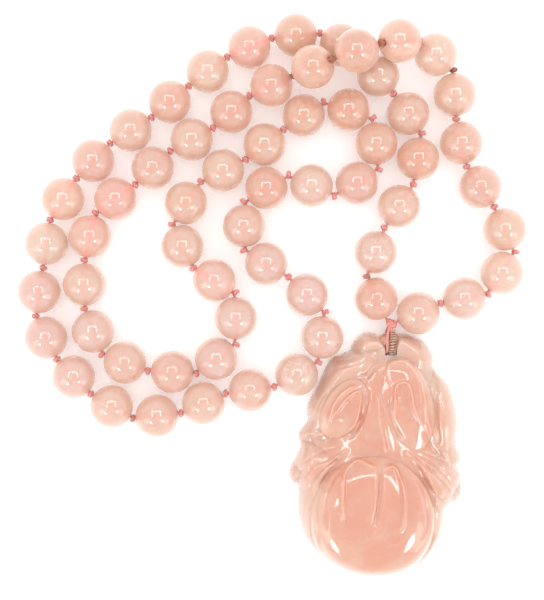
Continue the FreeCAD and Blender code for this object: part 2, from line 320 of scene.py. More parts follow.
def noiseOver(tree, scale, detail, more=None):
    place = addNode(tree, "TexCoord").outputs["Object"]
    inputs = {"Vector": place, "Scale": scale, "Detail": detail, **(more or {})}
    return addNode(tree, "TexNoise", inputs).outputs["Fac"]


# A node group from the values its sockets start with, by name; four numbers make a colour.
def newGroup(name, inputs, outputs):
    group = bpy.data.node_groups.new(name, "ShaderNodeTree")
    for way, sockets in (("INPUT", inputs), ("OUTPUT", outputs)):
        for label, value in sockets.items():
            kind = "NodeSocketColor" if isinstance(value, tuple) else "NodeSocketFloat"
            group.interface.new_socket(label, in_out=way, socket_type=kind).default_value = value
    return group, group.nodes.new("NodeGroupInput"), group.nodes.new("NodeGroupOutput")


cloudSettings = {
    "veilDetail": 3.0, "veilDrift": 0.9, "veilShare": (0.32, 0.68),
    "wispFineness": 2.6,  # how much finer the wisps are than the veils
    "wispDetail": 4.0, "wispRoughness": 0.6, "wispDrift": 1.6, "wispShare": (0.52, 0.74),
}


# Cloud inside a waxy stone: large drifting veils between two colours, with paler wisps laid over them.
def makeStoneCloud(settings):
    inputs = {"Pale": white, "Deep": white, "Wisp": white, "Scale": 100.0, "Lean": 0.0, "Wisps": 0.3}
    group, given, result = newGroup("stoneCloud", inputs, {"Colour": white})
    scale = given.outputs["Scale"]
    veil = noiseOver(group, scale, settings["veilDetail"], {"Distortion": settings["veilDrift"]})
    fine = calculate(group, "MULTIPLY", scale, settings["wispFineness"])
    wisp = noiseOver(group, fine, settings["wispDetail"], {
        "Roughness": settings["wispRoughness"], "Distortion": settings["wispDrift"]})
    depth = shareBetween(group, calculate(group, "ADD", veil, given.outputs["Lean"]), settings["veilShare"])
    stone = mixColours(group, depth, given.outputs["Pale"], given.outputs["Deep"])
    drift = shareBetween(group, wisp, settings["wispShare"])
    drift = calculate(group, "MULTIPLY", drift, given.outputs["Wisps"])
    setInputs(group, result, {"Colour": mixColours(group, drift, stone, given.outputs["Wisp"])})
    return group


twistSettings = {
    "waveHeight": 0.3,  # the filaments' share of the height; the rest is uneven
    "unevenScale": 2600.0, "unevenDetail": 2.0, "paintedShadeShare": (0.15, 0.85),
}


# Twisted silk: fine filaments that wind round the strand, with painted shade where they lie deep.
def makeSilkTwist(settings):
    inputs = {"Light": white, "PaintedShade": white, "Filaments": 9.0, "Turns": 900.0}
    group, given, result = newGroup("silkTwist", inputs, {"Colour": white, "Height": 0.0})
    split = addNode(group, "SeparateXYZ", {"Vector": addNode(group, "TexCoord").outputs["UV"]})
    along = calculate(group, "MULTIPLY", split.outputs["X"], given.outputs["Turns"])
    lie = calculate(group, "SUBTRACT", split.outputs["Y"], along)
    strands = calculate(group, "MULTIPLY", lie, given.outputs["Filaments"])
    wave = calculate(group, "SINE", calculate(group, "MULTIPLY", strands, 2 * math.pi))
    uneven = noiseOver(group, settings["unevenScale"], settings["unevenDetail"])
    height = calculate(group, "MULTIPLY_ADD", wave, settings["waveHeight"], uneven)
    light = shareBetween(group, height, settings["paintedShadeShare"])
    colour = mixColours(group, light, given.outputs["PaintedShade"], given.outputs["Light"])
    setInputs(group, result, {"Colour": colour, "Height": height})
    return group


def newMaterial(name):
    material = bpy.data.materials.new(name)
    material.use_nodes = True
    tree = material.node_tree
    return material, tree, tree.nodes["Principled BSDF"]


def useGroup(tree, group, inputs):
    made = tree.nodes.new("ShaderNodeGroup")
    made.node_tree = group
    setInputs(tree, made, inputs)
    return made


stoneCloud = makeStoneCloud(cloudSettings)
silkTwist = makeSilkTwist(twistSettings)

stoneSettings = {
    "pale": (0.91, 0.71, 0.63, 1), "deep": (0.90, 0.61, 0.46, 1), "pink": (0.90, 0.60, 0.54, 1),
    "cream": (0.91, 0.70, 0.56, 1), "richAndShade": (0.90, 0.45, 0.29, 1), "wisp": (0.96, 0.84, 0.78, 1),
    "cloudScale": 150.0,
    "lean": (0.3, -0.15),  # a pinker bead has more of its deeper colour
    "wisps": 0.35, "veils": 1.0, "roughness": 0.1, "refraction": 1.54, "clear": 0.49,
    "polish": 1.65,  # the refraction of the polished skin
    # painted rim light: a paler colour blended in towards each bead's edges as the surface turns from the
    # view
    "rim": (1.0, 0.70, 0.56, 1), "paintedRimLightShare": 0.95, "paintedRimLightWidth": 0.35,
    "silkTint": (1.0, 0.16, 0.18, 1),
    "paintedBoreGlow": 0.65,  # painted glow: the bore shines in the silk's colour, standing in for the silk seen through the stone
    "edgeGlow": 0.6,  # light that comes through the thin edges
    "edgeTint": (1.0, 0.78, 0.68, 1),
}


# What both stones share: a body that lets some light through, under a polished skin.
def polishStone(tree, surface, settings, colour):
    setInputs(tree, surface, {
        "Base Color": colour, "Roughness": settings["roughness"], "IOR": settings["refraction"],
        "Transmission Weight": settings["clear"], "Coat Weight": 1.0,
        "Coat Roughness": settings["roughness"], "Coat IOR": settings["polish"],
    })


# The beads' stone: waxy and clouded, each bead with its own tone between cream and pink, its own richness,
# partly deeper stone and partly painted shade, and its own veil, with a painted rim light paling its edges.
# The core, where the bore runs, is painted with the silk's colour and shines with a painted glow.
def makeBeadStone(settings):
    material, tree, surface = newMaterial("beadStone")
    tone, veil, richAndShade, core = (attributeOf(tree, name) for name in ("tone", "veil", "richAndShade", "core"))
    pale = mixColours(tree, tone, settings["cream"], settings["pale"])
    deep = mixColours(tree, tone, settings["deep"], settings["pink"])
    cloud = useGroup(tree, stoneCloud, {
        "Pale": mixColours(tree, richAndShade, pale, settings["deep"]),
        "Deep": mixColours(tree, richAndShade, deep, settings["richAndShade"]),
        "Wisp": settings["wisp"], "Scale": settings["cloudScale"],
        "Lean": calculate(tree, "MULTIPLY_ADD", tone, *settings["lean"]),
        "Wisps": calculate(tree, "MULTIPLY_ADD", veil, settings["veils"], settings["wisps"]),
    })
    # painted rim light: the colour turns paler towards the bead's edge, standing in for light coming
    # through
    facing = addNode(tree, "LayerWeight", {"Blend": settings["paintedRimLightWidth"]}).outputs["Facing"]
    paintedRimLit = mixColours(tree, calculate(tree, "MULTIPLY", facing, settings["paintedRimLightShare"]),
                        cloud.outputs["Colour"], settings["rim"])
    # painted silk colour and painted glow: the bore core is painted the silk's colour and below shines with
    # it, though it is no lamp
    polishStone(tree, surface, settings, mixColours(tree, core, paintedRimLit, settings["silkTint"]))
    setInputs(tree, surface, {
        "Emission Color": settings["silkTint"],
        "Emission Strength": calculate(tree, "MULTIPLY", core, settings["paintedBoreGlow"]),
        "Sheen Weight": settings["edgeGlow"], "Sheen Tint": settings["edgeTint"],
    })
    return material


silkSettings = {
    # the dark colour is painted shade, for the deep lies between the silk's filaments
    "light": (0.98, 0.50, 0.45, 1), "paintedShade": (0.84, 0.18, 0.14, 1), "stained": (0.44, 0.14, 0.05, 1),
    "filaments": 9.0, "turns": 700.0, "roughness": 0.5, "sheen": 0.4, "bump": 0.00006,
}


# Coral silk, browned where an old knot has taken a stain.
def makeSilk(settings):
    material, tree, surface = newMaterial("coralSilk")
    twist = useGroup(tree, silkTwist, {
        "Light": settings["light"], "PaintedShade": settings["paintedShade"],
        "Filaments": settings["filaments"], "Turns": settings["turns"],
    })
    stain = attributeOf(tree, "stain")
    bump = addNode(tree, "Bump", {"Height": twist.outputs["Height"], "Distance": settings["bump"]})
    setInputs(tree, surface, {
        "Base Color": mixColours(tree, stain, twist.outputs["Colour"], settings["stained"]),
        "Roughness": settings["roughness"], "Sheen Weight": settings["sheen"],
        "Normal": bump.outputs["Normal"],
    })
    return material


beadStone = makeBeadStone(stoneSettings)
coralSilk = makeSilk(silkSettings)

cordSettings = {
    "diameter": 0.0007,
    "steps": 30,  # points to each span of the spline
    "turnSteps": 26,  # the same for the cord with the tight turns
    "side": (0.02, 0.03, 1.0),  # where the twist is measured from; no cord runs this way for long
    "twist": {"plies": 3, "notch": 0.13, "lay": 0.0021, "sides": 12},
    "inner": 0.3758,  # real lengths
    "neck": 0.0923,
    "rightArc": 0.0657,
    "leftArc": 0.1331,
    "drop": 0.0605,
}
knotRight = knotBetween(right[-1], inner[0])
knotInner = knotBetween(inner[-1], left[0])
knotLeft = knotBetween(left[-1], neck[0])
knotNeck = knotBetween(neck[-1], drop[0])


def mouthsOf(ends):
    return [point for pair in ends for point in pair]


# One length of the strand's silk, on its body, in place of its plain solids.
def makeCord(name, route, body, length, *nodes, steps=cordSettings["steps"]):
    line = splineLine(name, np.array(route), steps)
    side = np.array(cordSettings["side"])
    tube = twistedTube(line, side, cordSettings["diameter"] / 2, cordSettings["twist"])
    cord = gridObject(name, [tube], coralSilk)
    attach(cord, body)
    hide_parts(*nodes)


makeCord("silk_cord_inner", [knotRight] + mouthsOf(inner)[1:-1] + [knotInner], "strand",
         cordSettings["inner"], "silk_inner")
makeCord("silk_cord_neck", [knotLeft] + mouthsOf(neck)[1:-1] + [knotNeck], "strand",
         cordSettings["neck"], "silk_neck")
makeCord("silk_cord_right_arc", mouthsOf(right), "right_arc", cordSettings["rightArc"], "silk_right_arc")
makeCord("silk_cord_left_arc", mouthsOf(left), "left_arc", cordSettings["leftArc"], "silk_left_arc")
dropRoute = [*drop[0], mainKnotAt, *bareTurn, mainKnotAt, *wrappedTurn, mainKnotAt, *drop[1]]
makeCord("silk_cord_drop", dropRoute, "drop", cordSettings["drop"], "silk_drop", "bail_silk",
         steps=cordSettings["turnSteps"])
print("silk cords strung")


# A drilled ball, one closed profile turned about the hole: the outside at the bead's radius from its
# middle, a rounded lip at each mouth, and the straight bore between the lips. A wave in the angle round
# the hole and the height along it, 1.5 either way, takes a little off the outside and never adds to it.
def beadGrid(ends, number, settings):
    middle = (ends[0] + ends[1]) / 2
    axis = unit(ends[1] - ends[0])
    across, upward = crossways(axis, [0.3, 0.1, 1.0])
    radius, bore, mouth = settings["radius"], settings["boreRadius"], settings["mouthRadius"]
    edge = math.asin(mouth / radius)
    polar = np.linspace(edge, math.pi - edge, settings["pole"])
    outside = np.stack([radius * np.sin(polar), -radius * np.cos(polar)], axis=1)
    top = outside[-1, 1]
    bottom = top - settings["mouthDepth"]
    bend = np.linspace(1 / settings["lipSteps"], 1, settings["lipSteps"])
    lip = np.stack([mouth + (bore - mouth) * bend ** 0.7, top + (bottom - top) * bend ** 1.6], axis=1)
    boreLine = np.stack([np.full(3, bore), np.linspace(bottom * 0.5, -bottom * 0.5, 3)], axis=1)
    profile = np.concatenate([outside, lip, boreLine, lip[::-1] * [1, -1]])
    angle = np.linspace(0, 2 * math.pi, settings["around"], endpoint=False)
    spread, height = profile[:, 0, None], profile[:, 1, None]
    phase = number * settings["waveShift"]
    wave = (np.sin(2 * angle + phase) * np.cos(height / radius * 2 + phase)
            + np.sin(angle * 3 - phase * 2) / 2)
    worn = 1 - settings["unevenness"] * (spread / radius) * (wave + 1.5) / 3
    outward = np.cos(angle)[:, None] * across + np.sin(angle)[:, None] * upward
    points = middle + axis * (height * worn)[..., None] + (spread * worn)[..., None] * outward
    core = np.broadcast_to(spread <= bore, points.shape[:2]).astype(float)
    along = np.arange(len(profile) + 1) / len(profile)
    return {"points": points, "closed": True, "along": along, "core": core}


def makeBeads(settings):
    draw = np.random.default_rng(61)
    first, last = settings["innermost"]
    for number, ends in enumerate(beadEnds, 1):
        tone = draw.uniform(*settings["tones"]["usual"])
        for name in ("pale", "pink"):
            if number in settings[name]:
                tone = draw.uniform(*settings["tones"][name])
        strength = next((name for name in ("richAndShade", "warmAndShade", "faint") if number in settings[name]), "usual")
        # the clearest beads get the full painted silk colour and painted glow in their bores
        boreGlowShare = 1.0 if number in settings["clearest"] else settings["paintedSilkShare"]
        grid = beadGrid(ends, number, settings)
        count = grid["points"].size // 3
        bead = gridObject(f"stone_bead_{number:02d}", [grid], beadStone, {
            "tone": np.full(count, tone),
            "veil": np.full(count, settings["veiled"].get(number, 0.0)),
            "richAndShade": np.full(count, settings["richnessAndShade"][strength]),
            "core": grid["core"].ravel() * boreGlowShare,
        })
        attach(bead, bodyOf(number))
        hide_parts("beads_innermost" if first <= number <= last else f"bead_{number:02d}")


makeBeads(beadSettings)
print("beads turned and drilled")

knotSettings = {
    "ring": 0.00042, "waist": 0.00026, "strand": 0.00036, "rounds": 2, "bights": 3, "samples": 54,
    "turnBetween": 2.1,  # how far each knot is turned from the one before it
    "twist": {"plies": 3, "notch": 0.16, "lay": 0.0016, "sides": 9},
}
mainKnotSettings = {
    "ring": 0.00072, "waist": 0.00042, "strand": 0.00040, "rounds": 3, "bights": 5, "samples": 150,
    "axis": (0.5, 1.0, 0.35), "phase": 0.4,
    "twist": {"plies": 3, "notch": 0.16, "lay": 0.0016, "sides": 12},
}
stainedKnots = {7: 1.0, 9: 0.95, 10: 1.0, 11: 0.9, 42: 0.35, 60: 0.5}


# A tight knot in one strand: at t its distance from the knot's axis is the ring plus the waist times
# cos(bights t), its height is the waist times sin(bights t), and its angle is the rounds times t.
def knotGrid(place, axis, phase, settings):
    across, upward = crossways(axis, [0.1, 0.2, 1.0])
    t = np.linspace(0, 2 * math.pi, settings["samples"], endpoint=False)[:, None]
    angle, swing = settings["rounds"] * t + phase, settings["bights"] * t
    outward = np.cos(angle) * across + np.sin(angle) * upward
    line = place + outward * (settings["ring"] + settings["waist"] * np.cos(swing))
    line = line + axis * settings["waist"] * np.sin(swing)
    side = outward * np.cos(swing) + axis * np.sin(swing)
    return twistedTube(line, side, settings["strand"], settings["twist"], closed=True)


def makeKnots(name, numbers, body, node):
    grids, stains = [], []
    for number in numbers:
        before, after = beadEnds[number - 1], beadEnds[number]
        axis = unit(after[0] - before[1])
        phase = number * knotSettings["turnBetween"]
        grids.append(knotGrid(knotBetween(before, after), axis, phase, knotSettings))
        stains.append(np.full(grids[-1]["points"].size // 3, stainedKnots.get(number, 0.0)))
    knots = gridObject(name, grids, coralSilk, {"stain": np.concatenate(stains)})
    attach(knots, body)
    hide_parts(node)


rightKnots = list(range(2, 7))
leftKnots = list(range(41, 52))
lyingKnots = [number for number in range(1, 61) if number not in rightKnots + leftKnots]
makeKnots("silk_knots_right_arc", rightKnots, "right_arc", "knots_right_arc")
makeKnots("silk_knots_left_arc", leftKnots, "left_arc", "knots_left_arc")
makeKnots("silk_knots_lying", lyingKnots, "strand", "knots_lying")
mainKnot = gridObject("silk_main_knot", [
    knotGrid(np.array(mainKnotAt), unit(np.array(mainKnotSettings["axis"])), mainKnotSettings["phase"],
             mainKnotSettings)], coralSilk)
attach(mainKnot, "drop")
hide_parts("main_knot")
print("knots tied")

coilSettings = {
    "pivot": (-0.0101, 0.004),  # the middle of the stone's bar, Y and Z
    "x": 0.02772,
    "bend": 0.0029,  # from the bar's middle to the silk inside the coil
    "sweep": (78, 183),  # where the coil lies round the bar, in degrees
    "start": (-0.0075, 0.0067), "wire": 0.00017, "inside": 0.00042, "belly": 0.0002, "turns": 13,
    "sides": 8, "stepsPerTurn": 20, "brass": (0.64, 0.49, 0.36, 1),
    "tarnish": (0.44, 0.31, 0.22, 1), "tarnishScale": 900.0, "tarnishDetail": 3.0,
    "tarnishShare": (0.4, 0.6), "metallic": 0.5, "roughness": 0.38,
}


# The coil's middle line runs straight from the main knot and then round the bar; the wire winds round
# that line at the inside radius, more at the belly halfway, with its turns evenly spaced.
def makeCoil(settings):
    material, tree, surface = newMaterial("tarnishedWire")
    noise = noiseOver(tree, settings["tarnishScale"], settings["tarnishDetail"])
    tarnished = shareBetween(tree, noise, settings["tarnishShare"])
    setInputs(tree, surface, {
        "Base Color": mixColours(tree, tarnished, settings["brass"], settings["tarnish"]),
        "Metallic": settings["metallic"], "Roughness": settings["roughness"],
    })
    count = settings["turns"] * settings["stepsPerTurn"]
    sweep = np.linspace(*np.radians(settings["sweep"]), count // 2)
    arc = arcRound(settings["pivot"], settings["bend"], sweep)
    run = np.linspace(settings["start"], arc[0], count // 6, endpoint=False)
    flat = np.concatenate([run, arc])
    share = np.linspace(0, 1, count)
    line = pointsAt(np.column_stack([np.full(len(flat), settings["x"]), flat]), share)
    tangent = unit(np.gradient(line, axis=0))
    sideways = np.array([1.0, 0, 0])
    upward = np.cross(tangent, sideways)
    turn = 2 * math.pi * settings["turns"] * share[:, None]
    swell = np.sin(math.pi * share[:, None]) ** 1.5
    reach = settings["inside"] + settings["wire"] + settings["belly"] * swell
    outward = np.cos(turn) * sideways + np.sin(turn) * upward
    wire = twistedTube(line + outward * reach, outward, settings["wire"],
                       {"plies": 1, "notch": 0.0, "lay": 1.0, "sides": settings["sides"]})
    coil = gridObject("wire_coil", [wire], material)
    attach(coil, "drop")
    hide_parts("bail_wire_coil")


makeCoil(coilSettings)
print("wire coil wound")

jadeSettings = {
    "pale": (0.79, 0.475, 0.345, 1), "deep": (0.77, 0.35, 0.23, 1), "paintedThinLight": (0.77, 0.53, 0.425, 1),
    "wisp": (0.80, 0.56, 0.45, 1), "cloudScale": 90.0,
    "lean": (0.6, -0.42),  # painted light: thicker stone has more of the deeper colour, as less light would come through it
    "paintedThinLightShare": (0.62, 0.16),  # the thickness where the painted paler light of thin stone begins, and where it is full
    "wisps": 0.3, "roughness": 0.1, "refraction": 1.54, "clear": 0.15, "polish": 1.7, "glow": 0.8,
    "glowDepth": 0.0028, "glowRadius": (1.0, 0.6, 0.45),
}


# The amulet's stone, with painted light: deeper where it is thick, paler where its leaves thin out, as if
# light came through them.
def makeAmuletStone(settings):
    material, tree, surface = newMaterial("amuletStone")
    thicknessShade = attributeOf(tree, "thicknessShade")
    cloud = useGroup(tree, stoneCloud, {
        "Pale": settings["pale"], "Deep": settings["deep"], "Wisp": settings["wisp"],
        "Scale": settings["cloudScale"], "Wisps": settings["wisps"],
        "Lean": calculate(tree, "MULTIPLY_ADD", thicknessShade, *settings["lean"]),
    })
    paintedThinLight = shareBetween(tree, thicknessShade, settings["paintedThinLightShare"])
    polishStone(tree, surface, settings, mixColours(tree, paintedThinLight, cloud.outputs["Colour"], settings["paintedThinLight"]))
    setInputs(tree, surface, {
        "Subsurface Weight": settings["glow"], "Subsurface Scale": settings["glowDepth"],
        "Subsurface Radius": settings["glowRadius"],
    })
    return material


jade = makeAmuletStone(jadeSettings)

# The carving, in millimetres from the middle of its thread hole.
carving = {
    "hole": (0.0273, -0.013),  # where that middle lies, in metres
    "middle": (-3.0, -24.0),
    "around": 520,  # faces round the edge
    "rings": 138,  # rings from the middle to the edge
    "innermost": 0.004,  # the first ring's share of the way out
    "crowding": 1.06,  # above 1, the rings lie closer towards the edge
    "outlineSteps": 24,  # points between two given ones
    "strokeSteps": 8,
    "strokeFade": 6,  # a stroke fades over about a sixth of its length at each end
    "plate": 4.6,  # the leaves' height
    "rim": 1.4,  # the height of the widest outline
    "edgeWidth": 4.0,  # how far in the edge is rounded
    "barEdge": 1.3,  # the same, beside the bar
    "barReach": 4.5,
    "ease": 0.7,  # below 1, a form's sides meet the plate more steeply
    "blend": 0.95,  # how softly raised forms run into each other
    "ridgeHeight": 1.15,  # shares of the strokes' heights and depths
    "grooveDepth": 0.68,
    "tallest": 12.9,
    "paintedPaleBand": 9.0,  # how far in from the outline the stone is painted paler, as light through thin stone
    "paintedDepthWeights": (0.62, 0.38),  # what the way in from the outline and the height each give to the painted deeper colour of thick stone
    "pivot": (2.9, 4.0),  # the bar's middle, Y and Z
    "slot": (-1.22, 1.46),  # the slot's sides
    "slotRadius": 3.95,
    "barRadius": 2.05,
    "barHalf": 2.7,
    "barTaper": 0.55,  # how much thinner the bar is where it runs into the lobes
    "barRows": 13,
    "archSteps": 33,
    "barSides": 40,
}
# The wall under the rim and the flat back: shares of the outline's size, and of the rim's height.
wallSteps = [(0.997, 0.6), (0.99, 0.25), (0.985, 0.06), (0.97, 0), (0.8, 0), (0.5, 0), (0.2, 0), (0.004, 0)]
outlinePoints = [
    (-1.9, 3.9), (-4.4, 5.0), (-7.0, 4.2), (-8.7, 2.1), (-8.9, 0.9),
    (-11.0, -0.1), (-13.7, -1.4), (-16.5, -6.8), (-19.2, -12.2), (-19.2, -15.7),
    (-21.2, -18.9), (-20.9, -22.0), (-23.4, -27.6), (-22.6, -30.3), (-21.4, -31.2),
    (-21.2, -38.0), (-18.7, -44.7), (-12.0, -50.3), (-3.1, -52.4),
    (5.8, -50.3), (12.0, -43.4), (13.4, -36.6),
    (16.6, -33.8), (17.0, -29.0), (16.0, -26.6), (17.0, -24.6), (15.9, -21.6),
    (16.2, -15.2), (14.2, -7.8), (10.6, -3.6),
    (10.4, -0.8), (8.2, 2.9), (4.4, 4.6), (1.6, 4.4), (0.0, 2.0),
]
# Raised forms: middle, half sizes, turn in degrees, foot height, rise and how square the top is.
raisedForms = {
    "lowerBed": ((-3.4, -36.6), (19.6, 18.0), 0, 3.2, 5.4, 2.8),
    "upperBed": ((-1.6, -14.6), (17.6, 15.4), 0, 3.4, 4.4, 2.6),
    "waist": ((-2.4, -24.6), (15.0, 9.0), 0, 3.4, 5.0, 2.6),
    "peach": ((-4.2, -38.2), (14.2, 14.8), 0, 8.0, 4.5, 4.4),
    "leftPod": ((-10.9, -12.6), (4.6, 7.6), -32, 6.4, 2.1, 2.2),
    "rightPod": ((4.0, -11.4), (5.8, 10.8), 14, 6.4, 2.7, 2.2),
    "stem": ((-2.6, -15.0), (3.8, 11.0), 4, 6.0, 1.6, 2.0),
    "rightLeaf": ((12.7, -13.8), (3.6, 10.4), 5, 4.6, 3.0, 2.2),
    "leftLobe": ((-5.3, 2.6), (4.6, 2.9), 8, 3.2, 3.2, 2.3),
    "rightLobe": ((5.9, 0.3), (5.6, 4.9), -30, 3.2, 3.6, 2.3),
    "bridge": ((0.0, 2.6), (5.4, 4.6), 0, 3.4, 3.1, 3.0),
    "brow": ((0.4, -4.4), (6.0, 3.2), -8, 4.6, 2.8, 2.2),
    "leftShoulder": ((-9.2, -3.4), (6.8, 3.4), 28, 3.6, 3.4, 2.2),
    "leftSide": ((-16.0, -11.6), (3.0, 7.8), -24, 4.2, 2.8, 2.2),
    "rightFan": ((12.2, -28.8), (4.2, 8.4), -38, 4.6, 3.0, 2.2),
    "leftFan": ((-17.2, -25.6), (3.6, 6.8), 52, 4.4, 3.0, 2.2),
    "leftWrap": ((-17.2, -38.0), (4.2, 13.0), 6, 4.8, 3.4, 2.2),
    "rightWrap": ((9.6, -38.6), (4.4, 13.6), -10, 4.8, 3.4, 2.2),
}
# Cut strokes: lift (below 0, a groove), half width, and the points they run through.
strokes = [
    (0.55, 0.42, (-14.5, -16.9), (-13.7, -12.7), (-12.0, -9.7), (-10.0, -8.0), (-8.0, -7.1)),
    (0.5, 0.34, (-13.3, -14.1), (-11.1, -11.1), (-9.0, -9.1), (-7.1, -8.3)),
    (0.55, 0.4, (-7.1, -8.3), (-7.1, -10.5), (-7.5, -13.1), (-8.2, -15.8), (-9.4, -17.9)),
    (-0.45, 1.4, (-9.0, -10.8), (-10.2, -13.2), (-11.6, -15.8)),
    (0.5, 0.36, (1.0, -13.3), (0.8, -9.8), (1.1, -7.3), (2.4, -6.5), (4.0, -6.9), (4.7, -9.6),
     (5.3, -12.7), (6.5, -15.9)),
    (0.6, 0.45, (-1.3, -2.8), (0.5, -1.8), (3.1, -1.6), (4.8, -2.9), (6.6, -6.0), (7.6, -9.6),
     (7.9, -12.7), (8.5, -15.8), (9.9, -19.4)),
    (-0.6, 1.4, (2.7, -8.6), (3.1, -12.0), (4.3, -16.6)),
    (-0.7, 0.6, (-5.3, -7.9), (-5.9, -11.3), (-6.6, -14.4), (-8.2, -17.6), (-10.2, -19.6)),
    (0.35, 0.4, (-2.9, -9.6), (-2.8, -13.6), (-2.2, -17.6), (-1.7, -20.2), (-1.1, -22.9)),
    (-0.7, 0.6, (-0.4, -9.3), (-0.2, -13.5), (1.0, -17.2), (3.0, -20.2)),
    (0.75, 0.42, (-11.4, -38.0), (-11.3, -31.8), (-11.0, -27.6), (-9.8, -25.4), (-7.7, -24.1),
     (-5.3, -25.0), (-3.3, -25.9)),
    (0.75, 0.42, (-2.0, -25.8), (0.3, -25.5), (1.6, -27.6), (2.4, -30.5), (2.8, -34.5), (2.3, -38.0),
     (1.6, -40.0)),
    (-0.9, 0.6, (-2.8, -25.0), (-2.8, -29.1), (-3.0, -32.3), (-3.4, -35.4), (-4.5, -39.6)),
    (-0.8, 0.6, (-10.2, -22.2), (-12.7, -25.1), (-15.4, -29.6), (-16.6, -34.0), (-16.9, -38.5),
     (-16.2, -43.4), (-14.8, -47.8)),
    (-0.6, 0.5, (-11.8, -26.5), (-13.7, -28.9), (-14.9, -32.3), (-15.3, -36.3), (-15.0, -40.0)),
    (-0.8, 0.6, (3.3, -22.7), (5.8, -25.6), (8.2, -29.6), (9.8, -34.0), (10.2, -37.8), (9.6, -42.3),
     (7.6, -46.9), (4.1, -51.4)),
    (-0.6, 0.5, (5.3, -28.3), (7.1, -32.3), (7.9, -35.8), (7.8, -39.4), (6.5, -42.7)),
    (-0.5, 0.3, (-1.9, -1.1), (-4.5, -2.9), (-5.7, -4.6), (-7.3, -4.9)),
    (-0.4, 0.3, (-2.0, -2.0), (-4.0, -3.7), (-5.3, -5.7)),
    (-0.35, 0.3, (-13.7, -3.9), (-10.7, -2.9), (-7.6, -2.2), (-4.0, -0.6)),
    (-0.35, 0.3, (-12.0, -1.6), (-9.3, -0.7), (-6.2, -0.1)),
    (-0.6, 0.45, (-8.8, 0.6), (-6.1, 0.3), (-3.6, 0.6), (-1.6, 1.6)),
    (-0.3, 0.25, (-6.1, 1.5), (-4.2, 1.6), (-2.4, 1.7)),
    (-0.25, 0.25, (-5.3, 3.1), (-3.6, 3.4), (-1.9, 3.6)),
    (-0.3, 0.3, (7.8, -4.9), (8.2, -6.9), (8.9, -9.1)),
    (-0.3, 0.3, (8.4, -6.5), (9.1, -8.7), (10.2, -11.6)),
    (-0.3, 0.3, (9.8, -5.1), (10.9, -7.8), (11.8, -11.3)),
    (-0.7, 0.55, (10.2, -3.9), (10.6, -8.2), (10.5, -12.7), (10.7, -16.7), (11.1, -19.8),
     (10.6, -21.5)),
    (-0.6, 0.5, (7.3, -18.0), (8.5, -20.2), (9.8, -22.2), (11.2, -23.6)),
    (-0.5, 0.35, (3.8, -22.9), (8.5, -26.1), (12.5, -30.3), (14.9, -34.8)),
    (-0.45, 0.35, (5.8, -22.9), (10.9, -26.5), (14.5, -30.3), (16.6, -33.6)),
    (-0.4, 0.3, (7.8, -22.7), (12.5, -25.1), (15.8, -28.0)),
    (-0.45, 0.35, (4.0, -24.3), (7.1, -28.5), (10.2, -32.3), (13.3, -35.9)),
    (-0.45, 0.35, (10.9, -36.0), (11.9, -39.8), (10.9, -44.3), (8.5, -48.3), (5.8, -51.0)),
    (-0.4, 0.3, (12.1, -36.9), (12.7, -40.3), (11.9, -43.8), (9.8, -47.4)),
    (-0.4, 0.3, (10.2, -41.2), (8.5, -46.1), (5.8, -50.0)),
    (-0.45, 0.35, (-18.6, -31.8), (-19.9, -36.3), (-19.8, -41.6), (-18.0, -46.1), (-15.8, -48.8)),
    (-0.4, 0.3, (-20.1, -32.5), (-20.9, -37.2), (-20.5, -41.7), (-19.1, -45.2)),
    (-0.4, 0.3, (-17.4, -34.0), (-18.3, -38.5), (-17.9, -43.2), (-16.2, -47.4)),
    (-0.45, 0.35, (-10.7, -22.5), (-14.2, -24.3), (-17.8, -25.8), (-20.4, -29.1)),
    (-0.4, 0.3, (-12.0, -21.5), (-16.5, -22.9), (-20.0, -25.1), (-22.2, -27.6)),
    (-0.4, 0.3, (-11.2, -23.5), (-14.7, -26.1), (-17.4, -28.9), (-19.5, -32.0)),
    (0.5, 0.6, (-20.6, -18.6), (-18.5, -18.6), (-15.7, -18.7)),
    (-0.5, 0.4, (-20.4, -20.4), (-17.5, -20.3), (-14.8, -20.4)),
    (-0.4, 0.35, (-14.2, -8.2), (-16.2, -10.9), (-17.4, -14.0), (-17.8, -16.9)),
    (-0.35, 0.3, (-12.0, -6.5), (-14.7, -9.6), (-16.2, -13.1)),
    (-0.5, 0.4, (14.9, -22.9), (16.2, -23.7), (16.9, -24.9)),
]


# Points along a smooth line through a few given ones: a cubic through each pair, whose slope at a
# point is half the step from the point before it to the point after it.
def smoothThrough(points, steps, closed=False):
    points = np.array(points, dtype=float)
    before = np.roll(points, 1, axis=0)
    after = np.roll(points, -1, axis=0)
    if not closed:
        before[0] = 2 * points[0] - points[1]
        after[-1] = 2 * points[-1] - points[-2]
    slope = (after - before) / 2
    nextPoints, nextSlope = np.roll(points, -1, axis=0), np.roll(slope, -1, axis=0)
    s = np.linspace(0, 1, steps, endpoint=False)[None, :, None]
    cubic = ((2 * s ** 3 - 3 * s ** 2 + 1) * points[:, None] + (s ** 3 - 2 * s ** 2 + s) * slope[:, None]
             + (3 * s ** 2 - 2 * s ** 3) * nextPoints[:, None] + (s ** 3 - s ** 2) * nextSlope[:, None])
    if closed:
        return cubic.reshape(-1, 2)
    return np.concatenate([cubic[:-1].reshape(-1, 2), points[-1:]])


# The distance from every place to a line of short runs, and the share of the line where it is nearest.
def distanceTo(line, x, y):
    nearest = np.full(x.shape, 1e9)
    share = np.zeros(x.shape)
    for k, (a, b) in enumerate(zip(line[:-1], line[1:])):
        run = b - a
        t = np.clip(((x - a[0]) * run[0] + (y - a[1]) * run[1]) / (run @ run), 0, 1)
        away = np.hypot(x - a[0] - t * run[0], y - a[1] - t * run[1])
        closer = away < nearest
        nearest = np.where(closer, away, nearest)
        share = np.where(closer, (k + t) / (len(line) - 1), share)
    return nearest, share


